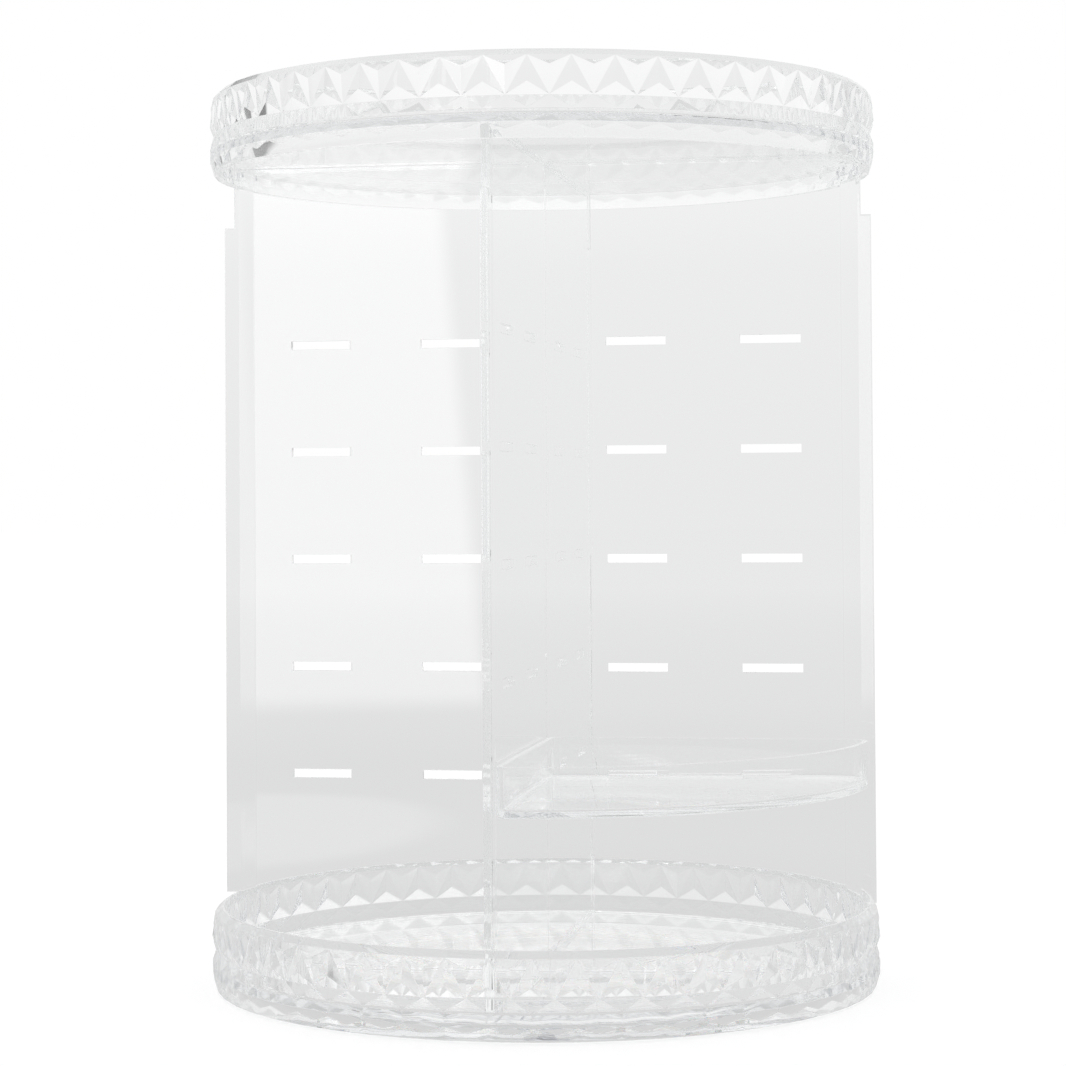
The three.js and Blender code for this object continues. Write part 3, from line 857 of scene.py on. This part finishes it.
def ray_switch(tree, for_camera, for_gloss, for_matt):
    """A colour that depends on what kind of ray asks for it."""
    rays = tree.nodes.new("ShaderNodeLightPath")
    clear = tree.nodes.new("ShaderNodeMath")
    clear.operation = "MAXIMUM"
    tree.links.new(rays.outputs["Is Glossy Ray"], clear.inputs[0])
    tree.links.new(rays.outputs["Is Transmission Ray"], clear.inputs[1])
    color = for_matt
    for switch, choice in ((clear.outputs[0], for_gloss), (rays.outputs["Is Camera Ray"], for_camera)):
        mix = tree.nodes.new("ShaderNodeMix")
        mix.data_type = "RGBA"
        tree.links.new(switch, mix.inputs["Factor"])
        for value, place in ((color, MIX_FIRST_COLOUR), (choice, MIX_SECOND_COLOUR)):
            if isinstance(value, bpy.types.NodeSocket):
                tree.links.new(value, mix.inputs[place])
            else:
                mix.inputs[place].default_value = (value, value, value, 1)
        color = mix.outputs[MIX_COLOUR_OUT]
    return color


print("ray switch is ready")

# %% [markdown]
# The greys themselves are small node trees. Three helpers keep them readable: a row of greys along
# a value, one maths node, and a soft step from one value to another.


# %% Node helpers for the studio
def grey_ramp(tree, source, stops):
    """Greys along a value from 0 to 1."""
    node = tree.nodes.new("ShaderNodeValToRGB")
    ramp = node.color_ramp
    while len(ramp.elements) < len(stops):
        ramp.elements.new(0.5)
    for element, (place, level) in zip(ramp.elements, stops):
        element.position = place
        element.color = (level, level, level, 1)
    tree.links.new(source, node.inputs["Fac"])
    return node.outputs["Color"]


def calculate(tree, operation, *values):
    """A maths node on sockets or numbers."""
    node = tree.nodes.new("ShaderNodeMath")
    node.operation = operation
    for socket, value in zip(node.inputs, values):
        if isinstance(value, bpy.types.NodeSocket):
            tree.links.new(value, socket)
        else:
            socket.default_value = value
    return node.outputs[0]


def soft_step(tree, value, start, end, low=0.0, high=1.0):
    """A smooth change from low to high while the value goes from start to end."""
    node = tree.nodes.new("ShaderNodeMapRange")
    node.interpolation_type = "SMOOTHSTEP"
    tree.links.new(value, node.inputs["Value"])
    for socket, number in (("From Min", start), ("From Max", end), ("To Min", low), ("To Max", high)):
        node.inputs[socket].default_value = number
    return node.outputs["Result"]


print("studio helpers are ready")

# %% [markdown]
# A picture of a studio could wrap the world, but a few greys along the height say the same in numbers
# that can be tuned. The world is darkest at the table's edge and fades to nearly white overhead.
# The side behind the camera is a little lighter, since the studio's lamps stand there.

# %% Studio world
world = bpy.data.worlds.new("white_studio")
bpy.context.scene.world = world
world.use_nodes = True
studio = world.node_tree
direction = studio.nodes.new("ShaderNodeTexCoord")
split = studio.nodes.new("ShaderNodeSeparateXYZ")
studio.links.new(direction.outputs["Generated"], split.inputs["Vector"])
SKY_STOPS = [(0.0, 0.82), (0.08, 0.845), (0.11, 0.885), (0.2, 0.955), (1.0, 0.965)]
sky = grey_ramp(studio, split.outputs["Z"], SKY_STOPS)
FRONT_FILL, FRONT_STARTS, FRONT_FULL, FILL_HEIGHT = 0.08, -0.2, -0.8, 0.2
fill = soft_step(studio, split.outputs["Y"], FRONT_STARTS, FRONT_FULL, high=FRONT_FILL)
raised = soft_step(studio, split.outputs["Z"], 0.0, FILL_HEIGHT)
level = calculate(studio, "MULTIPLY_ADD", fill, raised, sky)
print("greys from the table's edge to overhead:", [grey for _, grey in SKY_STOPS])

# %% [markdown]
# Every studio has lighter and darker things round the table, and each cut facet picks out one of
# them. Oval patches do that here. Each has a place in degrees, to the right of the back wall and
# above the table, a half size, and how much lighter or darker it is. The last one, on the left, is
# almost black: it is the flag that draws the small dark kites at the upper rim's left end. Seen
# from the camera, all lie above the flat walls or beside them, so none shows through these.

# %% Patches round the table
DARKEST = 0.02
PATCHES = [  # to the right, above, half width, half height, change, softness
    (9, 17, 10, 15, 0.03, 0.5),
    (-21, 14, 9, 7, -0.06, 0.4),
    (-30, 8, 9, 7, -0.07, 0.4),
    (-6, 33, 11, 9, -0.04, 0.4),
    (24, 40, 12, 11, 0.06, 0.3),
    (-38, 42, 14, 12, 0.05, 0.3),
    (38, 20, 14, 11, -0.25, 0.3),
    (-32, 21, 10, 8, -0.85, 0.2),
]


def oval_distance(tree, sockets, middle, half_size, scale=1):
    """How far a place is from an oval's middle, where 1 is the oval's rim."""
    first, second = (
        calculate(tree, "MULTIPLY_ADD", socket, scale / half, -centre / half)
        for socket, centre, half in zip(sockets, middle, half_size)
    )
    square = calculate(tree, "MULTIPLY", first, first)
    return calculate(tree, "SQRT", calculate(tree, "MULTIPLY_ADD", second, second, square))


right = calculate(studio, "ARCTAN2", split.outputs["X"], split.outputs["Y"])
above = calculate(studio, "ARCSINE", split.outputs["Z"])
for across, up, half_width, half_height, change, softness in PATCHES:
    distance = oval_distance(
        studio, (right, above), (across, up), (half_width, half_height), scale=180 / pi
    )
    inside = soft_step(studio, distance, 1.0, 1.0 - softness)
    level = calculate(studio, "MULTIPLY_ADD", inside, change, level)
level = calculate(studio, "MAXIMUM", level, DARKEST)
background = studio.nodes["Background"]
studio.links.new(ray_switch(studio, 1.0, level, 1.0), background.inputs["Color"])
print("patches round the table:", len(PATCHES))

# %% [markdown]
# The floor is a matt white sheet. A shadow catcher would keep the shadow too, but on a plain sheet
# one material sets what the camera, the plastic and matt surfaces see of it. To the camera its
# shadow stays and the rest is white: a matt part takes the light, and a small glow lifts it to the
# white of the backdrop. Plastic and steel see no lit sheet but a painted glow: painted shade that
# darkens towards the object, and a painted pool of light before it that stands for the softbox's
# light. The left panel's foot mirrors that painted pool faintly.

# %% Floor
FLOOR_HALF = 12.0
floor_mesh = bmesh.new()
floor_mesh.faces.new([
    floor_mesh.verts.new((x * FLOOR_HALF, y * FLOOR_HALF, 0))
    for x, y in ((-1, -1), (1, -1), (1, 1), (-1, 1))
])
floor_data = bpy.data.meshes.new("white_floor")
floor_mesh.to_mesh(floor_data)
floor_mesh.free()
floor = link_object("white_floor", floor_data)
print("the floor is", 2 * FLOOR_HALF, "m wide")

# %% Floor finish
FLOOR_TONE, CAMERA_GLOW, MATT_GLOW = 0.85, 0.18, 0.15
FLOOR_FADE = 4.0
# Painted shade: plastic and steel see the floor as these painted greys, darkest next to the object.
PAINTED_FLOOR_SHADE_STOPS = [  # share of the fade's distance from the object, grey
    (0.0, 0.61), (0.05, 0.715), (0.1, 0.735), (0.2, 0.73), (0.32, 0.76), (0.66, 0.785), (1.0, 0.815),
]
# Painted light: a pool of light painted on the floor before the object, seen by plastic and steel.
PAINTED_SPILL_PLACE, PAINTED_SPILL_HALF_SIZE, PAINTED_SPILL_GAIN, PAINTED_SPILL_CORE = (-0.24, -0.42), (0.13, 0.19), 0.6, 0.75
floor_finish, floor_shader = start_finish("matt_white_table", Roughness=1.0, Specular_IOR_Level=0.0)
floor_tree = floor_finish.node_tree
place = add_node(floor_finish, "ShaderNodeTexCoord")
reach = add_node(floor_finish, "ShaderNodeVectorMath", operation="LENGTH")
link(floor_finish, place, "Object", reach, "Vector")
distance = add_node(floor_finish, "ShaderNodeMapRange", From_Max=FLOOR_FADE)
link(floor_finish, reach, "Value", distance, "Value")
# Painted shade for plastic and steel: a grey that darkens towards the object.
painted_floor_light_and_shade = grey_ramp(floor_tree, distance.outputs["Result"], PAINTED_FLOOR_SHADE_STOPS)
floor_split = floor_tree.nodes.new("ShaderNodeSeparateXYZ")
link(floor_finish, place, "Object", floor_split, "Vector")
spread = oval_distance(
    floor_tree, (floor_split.outputs["X"], floor_split.outputs["Y"]), PAINTED_SPILL_PLACE, PAINTED_SPILL_HALF_SIZE
)
# The painted pool of light is added to the painted floor greys.
painted_spill = soft_step(floor_tree, spread, 1.0, PAINTED_SPILL_CORE)
painted_floor_light_and_shade = calculate(floor_tree, "MULTIPLY_ADD", painted_spill, PAINTED_SPILL_GAIN, painted_floor_light_and_shade)
# For plastic and steel the sheet takes no light and only glows with the painted shade and light.
tone = ray_switch(floor_tree, FLOOR_TONE, 0.0, FLOOR_TONE)
glow = ray_switch(floor_tree, CAMERA_GLOW, painted_floor_light_and_shade, MATT_GLOW)
floor_tree.links.new(tone, floor_shader.inputs["Base Color"])
floor_tree.links.new(glow, floor_shader.inputs["Emission Color"])
floor_shader.inputs["Emission Strength"].default_value = 1.0
floor_data.materials.append(floor_finish)
print("floor finish:", floor_finish.name)

# %% [markdown]
# ## The softbox
# One tall lamp stands on the table, left of the camera. It is what brightens the left panel.
# A glowing sheet could stand there as well, but an area lamp is sampled better and throws less
# noise. It gives its nodes the place on its own face, which lets its right border lean and fade, as
# the reflection in the photo does.

# %% Softbox on the left
SOFTBOX_RADIANCE = 1.34
SOFTBOX_WIDTH, SOFTBOX_HEIGHT, SOFTBOX_TURN = 0.25, 0.396, radians(-20)
SOFTBOX_PLACE, SOFTBOX_LIFT = (-0.329, -1.072), 0.004
softbox_data = bpy.data.lights.new("left_softbox", "AREA")
softbox_data.shape = "RECTANGLE"
softbox_data.size, softbox_data.size_y = SOFTBOX_WIDTH, SOFTBOX_HEIGHT
softbox_data.energy = SOFTBOX_RADIANCE * pi * SOFTBOX_WIDTH * SOFTBOX_HEIGHT
softbox_data.use_nodes = True
lamp_tree = softbox_data.node_tree
lamp_place = lamp_tree.nodes.new("ShaderNodeNewGeometry")
lamp_split = lamp_tree.nodes.new("ShaderNodeSeparateXYZ")
lamp_tree.links.new(lamp_place.outputs["Parametric"], lamp_split.inputs["Vector"])
LEAN, SIDE_DARK, SIDE_FULL, FOOT_FULL = 0.136, 0.99, 0.915, 0.05
leaning = calculate(lamp_tree, "MULTIPLY_ADD", lamp_split.outputs["Y"], LEAN, lamp_split.outputs["X"])
faded = soft_step(lamp_tree, leaning, SIDE_DARK, SIDE_FULL)
risen = soft_step(lamp_tree, lamp_split.outputs["Y"], 0.0, FOOT_FULL)
strength = calculate(lamp_tree, "MULTIPLY", faded, risen)
lamp_tree.links.new(strength, lamp_tree.nodes["Emission"].inputs["Strength"])
softbox = link_object("left_softbox", softbox_data)
softbox.location = (*SOFTBOX_PLACE, SOFTBOX_LIFT + SOFTBOX_HEIGHT / 2)
softbox.rotation_euler = (pi / 2, 0, SOFTBOX_TURN)
print("softbox:", round(softbox_data.energy, 3), "W")

# %% [markdown]
# ## Render settings
# The view is Standard, so that colours come out as they are written. Light runs to and fro between
# the crossed clear sheets, and with few bounces the line where they meet goes black, so the bounces
# are many. Blender also blurs mirrored light after a rough surface to lower the noise, which can
# smear the fine lines in the plastic, so it is off.

# %% Render settings
BOUNCES = 160
scene = bpy.context.scene
scene.view_settings.view_transform = "Standard"
scene.cycles.max_bounces = BOUNCES
scene.cycles.transmission_bounces = BOUNCES
scene.cycles.glossy_bounces = BOUNCES
scene.cycles.blur_glossy = 0
print("light bounces:", BOUNCES)
